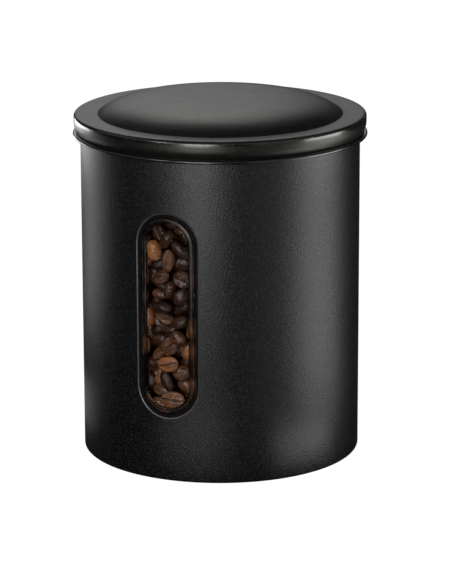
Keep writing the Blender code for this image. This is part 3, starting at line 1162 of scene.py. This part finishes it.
def makeBeans(pile, group, finish, rings, around):
    allPoints, allFaces, tones, creases = [], [], [], []
    start = 0
    for name, turn, size, place, tone, sway in pile.beans:
        if name != group:
            continue
        points, crease, faces = beanShape(rings, around, sway)
        points = (points * size) @ turn.T + place
        allPoints.append(points)
        creases.append(crease)
        tones.append(np.full(len(points), tone))
        allFaces += [tuple(dict.fromkeys(corner + start for corner in face)) for face in faces]
        start += len(points)
    mesh = newMesh(group, np.vstack(allPoints).tolist(), allFaces)
    storeShares(mesh, "tone", np.concatenate(tones))
    storeShares(mesh, "crease", np.concatenate(creases))
    addPiece(group, mesh, finish, "canister", "coffee_beans")


def makeBeanCore(finish):
    # the part of the fill that never shows, a plain lump under the beans
    low = plateHigh.z + 0.3 * mm
    radius = bean["core"]
    top = bean["coreTop"]
    bend = bean["coreRound"]
    outline = [(0, top), (radius * 0.5, top)]
    outline += arc(radius - bend, top - bend, bend, 90, 0, 6)
    outline += [(radius, low), (0, low)]
    mesh = turnedMesh("beanCore", outline, turns=96)
    for name in ("tone", "crease"):
        storeShares(mesh, name, np.zeros(len(mesh.vertices)))
    addPiece("beanCore", mesh, finish, "canister", "coffee_beans")


pile = Pile()
rng = random.Random(bean["seed"])
roasted = roastedBean("roastedBean")
layWindowBeans(pile, rng)
layBackBeans(pile, rng)
layTopBeans(pile, rng)
groups = {"windowBeans": (26, 36), "backBeans": (12, 18), "topBeans": (14, 20)}  # rings, sides
for group, (rings, around) in groups.items():
    makeBeans(pile, group, roasted, rings, around)
makeBeanCore(roasted)
print("beans laid", {group: sum(item[0] == group for item in pile.beans) for group in groups})


# Camera, floor and light

view = {
    "bearing": 22.2,  # degrees round from the window's middle
    "pitch": 14.99,
    "distance": 1.3733,
    "lens": 186.77,
    "aimRight": 2.37 * mm,
    "aimHeight": 70.54 * mm,
    "roll": 0.19,
}
white = (1, 1, 1, 1)
studio = {
    "skyGlow": 0.6,
    "floorHalf": 6.0,
    "floorDrop": 0.05 * mm,
    "floorPaint": (0.8, 0.8, 0.8, 1),
    "seenPaint": (0.12, 0.12, 0.12, 1),
    "seenGlow": 0.95,
    "cardGlow": 0.02,
}

# height and half its width
levelCards = {"floorCard": (-0.03 * mm, 2.6), "ceilingCard": (0.75, 0.5)}

# low edge, high edge, distance, first and last bearing, glow
uprightCards = {
    "horizonCard": (0, 0.35, 1.3, 0, 360, studio["cardGlow"]),
    "greyCard": (0.35, 2.0, 1.25, -112, 112, 0.28),
    "leftCard": (0.35, 2.0, 1.25, -160, -112, 0.03),
    "rightCard": (0.35, 2.0, 1.25, 112, 165, 0.03),
    "rightGreyCard": (0.35, 2.0, 1.25, 165, 177, 0.5),
}

# bearing, height of the lower edge, distance, width, height and glow
softboxes = {
    "sideSoftbox": (70.5, 0.0, 0.14, 0.088, 0.112, 2.7),
    "lowSoftbox": (48, 0.0, 0.085, 0.055, 0.014, 1.95),
    "frontSoftbox": (-16, 0.02, 0.28, 0.1, 0.16, 3.6),
    "highSoftbox": (-14, 0.12, 0.28, 0.12, 0.06, 3.5),
    "keySoftbox": (-41, 0.15, 0.3, 0.06, 0.1, 4.2),
    "lowFrontSoftbox": (-15, 0.0, 0.1, 0.07, 0.022, 0.6),
    "fillSoftbox": (40, 0.0, 0.13, 0.1, 0.17, 0.28),
    "leftSoftbox": (-116, 0.014, 0.22, 0.11, 0.076, 1.25),
    "lowLeftSoftbox": (-106, 0.0, 0.085, 0.05, 0.022, 0.36),
    "leftRimSoftbox": (-126, 0.1, 0.22, 0.13, 0.047, 4.6),
    "rightRimSoftbox": (71, 0.12, 0.14, 0.08, 0.03, 5.8),
    "backSoftbox": (-175, 0.48, 0.45, 0.27, 0.16, 2.0),
}
roomLight = (-25, 0.5, 1.1, 0.9, 0.7, 7.6)


def fromCamera(bearing, height, distance):
    # a place round the object: bearing in degrees to the right of the camera, seen from above
    angle = math.radians(view["bearing"] + bearing)
    return Vector((distance * math.sin(angle), -distance * math.cos(angle), height))


def makeCamera():
    data = bpy.data.cameras.new("camera")
    data.lens = view["lens"]
    data.clip_start = 0.05
    data.clip_end = 20
    camera = addObject("camera", data)
    bpy.context.scene.camera = camera
    pitch = math.radians(view["pitch"])
    aim = fromCamera(90, view["aimHeight"], view["aimRight"])
    back = fromCamera(0, math.sin(pitch), math.cos(pitch))
    camera.location = aim + back * view["distance"]
    camera.rotation_mode = "QUATERNION"
    roll = Quaternion((0, 0, 1), math.radians(-view["roll"]))
    camera.rotation_quaternion = (-back).to_track_quat("-Z", "Y") @ roll


def addLamp(name, bearing, low, distance, width, tall, glow, glossOnly=True):
    # an upright softbox: one that shows only in glossy and clear surfaces, or one that lights the
    # rest without showing in them
    data = bpy.data.lights.new(name, "AREA")
    data.shape = "RECTANGLE"
    data.size = width
    data.size_y = tall
    data.energy = glow * math.pi * width * tall  # a glow of 1 is as bright as white paper
    lamp = addObject(name, data)
    lamp.location = fromCamera(bearing, low + tall / 2, distance)
    aim = fromCamera(bearing, 0, -1)
    lamp.rotation_mode = "QUATERNION"
    lamp.rotation_quaternion = aim.to_track_quat("-Z", "Y")
    lamp.visible_camera = False
    lamp.visible_diffuse = not glossOnly
    lamp.visible_glossy = glossOnly
    lamp.visible_transmission = glossOnly


def addCard(name, points, glow):
    # a black or grey card, as a studio hangs to darken reflections; only rays mirrored or let
    # through meet it
    half = len(points) // 2
    mesh = newMesh(name, points, [(i, i + 1, half + i + 1, half + i) for i in range(half - 1)])
    finish = Finish(name)
    grey = finish.add("Emission", None, {"Color": white, "Strength": glow})
    mesh.materials.append(finish.shown(grey))
    card = addObject(name, mesh)
    card.visible_camera = False
    card.visible_diffuse = False
    card.visible_shadow = False


def levelCorners(height, half):
    return [(x, y, height) for y in (-half, half) for x in (-half, half)]


def curvedPoints(low, high, radius, start, end):
    # points along the foot and then along the top of an upright card, by bearing
    steps = max(2, abs(end - start) // 8)  # of about 8 degrees
    bearings = [start + (end - start) * i / steps for i in range(steps + 1)]
    return [fromCamera(bearing, height, radius) for height in (low, high) for bearing in bearings]


def seenDirectly(finish):
    # 1 for the rays that see the background: the camera's, and those mirrored or let through
    camera = finish.add("LightPath", out="Is Camera Ray")
    glossy = finish.add("LightPath", out="Is Glossy Ray")
    through = finish.add("LightPath", out="Is Transmission Ray")
    return camera.either(glossy).either(through)


def makeWorld():
    world = bpy.data.worlds.new("studio")
    world.use_nodes = True
    bpy.context.scene.world = world
    finish = Finish("studio", world.node_tree)
    dim = finish.add("Background", None, {"Color": white, "Strength": studio["skyGlow"]})
    full = finish.add("Background", None, {"Color": white, "Strength": 1.0})
    finish.shown(finish.add("MixShader", None, {0: seenDirectly(finish), 1: dim, 2: full}), "World")


def makeFloor():
    # seen directly it is nearly all glow, with just enough paint to keep the object's shadow
    finish = Finish("paleFloor")
    half = studio["floorHalf"]
    corners = [(-half, -half, 0), (half, -half, 0), (half, half, 0), (-half, half, 0)]
    mesh = newMesh("floor", corners, [(0, 1, 2, 3)])
    floor = addObject("floor", mesh)
    floor.location.z = -studio["floorDrop"]
    matt = finish.add("BsdfDiffuse", None, {"Color": studio["floorPaint"]})
    faint = finish.add("BsdfDiffuse", None, {"Color": studio["seenPaint"]})
    glow = finish.add("Emission", None, {"Color": white, "Strength": studio["seenGlow"]})
    lit = finish.add("AddShader", None, {0: faint, 1: glow})
    shade = finish.add("MixShader", None, {0: seenDirectly(finish), 1: matt, 2: lit})
    mesh.materials.append(finish.shown(shade))


makeCamera()
makeWorld()
makeFloor()
for name, (height, half) in levelCards.items():
    addCard(name, levelCorners(height, half), studio["cardGlow"])
for name, (*reach, glow) in uprightCards.items():
    addCard(name, curvedPoints(*reach), glow)
for name, settings in softboxes.items():
    addLamp(name, *settings)
addLamp("roomLight", *roomLight, glossOnly=False)
bpy.context.scene.view_settings.view_transform = "Standard"
print("camera and light set")
